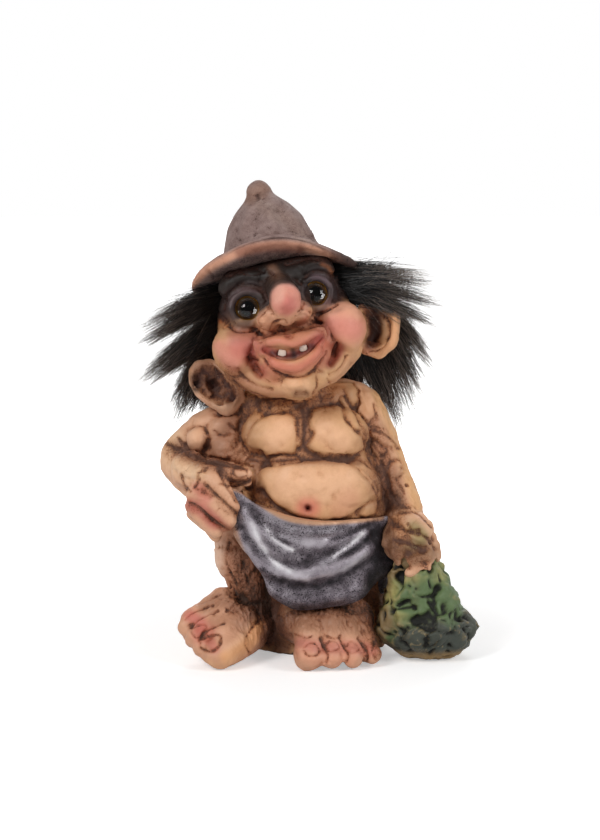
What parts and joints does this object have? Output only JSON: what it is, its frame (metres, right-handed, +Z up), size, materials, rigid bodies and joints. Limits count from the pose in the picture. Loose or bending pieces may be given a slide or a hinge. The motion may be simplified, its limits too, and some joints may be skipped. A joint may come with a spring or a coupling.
{
  "type": "troll figure",
  "caption": "Hand-painted folk ornament: a standing troll in a brimmed hat and draped tunic, with set-in glass eyes, fur hair, peg teeth and a knobbly club.",
  "frame": {"origin": "centre of the plug in the underside, on the surface that the figure stands on", "axes": "+Z up, -Y the way the figure faces, +X to the figure's left (the viewer's right)"},
  "size_m": [0.1441, 0.0841, 0.1937],
  "materials": {
    "skin_casting": "matt painted rubber, light tan with a brown wash in the hollows",
    "face_casting": "matt painted rubber, pink on the cheeks, nose and lips, dark brown round the eyes",
    "leg_casting": "matt painted rubber, textured like fur and darker than the skin",
    "hat_casting": "matt painted rubber, grey-brown felt with a tan brim",
    "tunic_casting": "rubber with a silvery grey-violet paint over a dark wash",
    "club_casting": "matt painted rubber, mossy green above and blue-black below",
    "eye_glass": "clear polished glass",
    "eye_iris": "amber paint under the glass",
    "eye_pupil": "black paint under the glass",
    "tooth": "off-white, slightly glossy",
    "plug_felt": "black felt disc glued in the pour hole",
    "fur": "long glossy natural fur, near-black roots and brown-grey tips"
  },
  "bodies": {
    "root": {"body_shell": "skin_casting", "base_plug": "plug_felt", "head": "face_casting", "nose": "face_casting", "right_ear": "face_casting", "left_ear": "face_casting", "hat": "hat_casting", "right_eye_glass": "eye_glass", "right_eye_iris": "eye_iris", "right_eye_pupil": "eye_pupil", "left_eye_glass": "eye_glass", "left_eye_iris": "eye_iris", "left_eye_pupil": "eye_pupil", "right_tooth": "tooth", "left_tooth": "tooth", "right_arm": "skin_casting", "right_hand": "skin_casting", "left_arm": "skin_casting", "left_hand": "skin_casting", "right_leg": "leg_casting", "right_foot": "skin_casting", "left_leg": "leg_casting", "left_foot": "skin_casting", "tunic_front": "tunic_casting", "tunic_back": "tunic_casting", "club": "club_casting", "fur_right_upper": "fur", "fur_right_middle": "fur", "fur_right_hanging": "fur", "fur_left_upper": "fur", "fur_left_middle": "fur", "fur_left_hanging": "fur", "fur_back": "fur"}
  },
  "joints": []
}
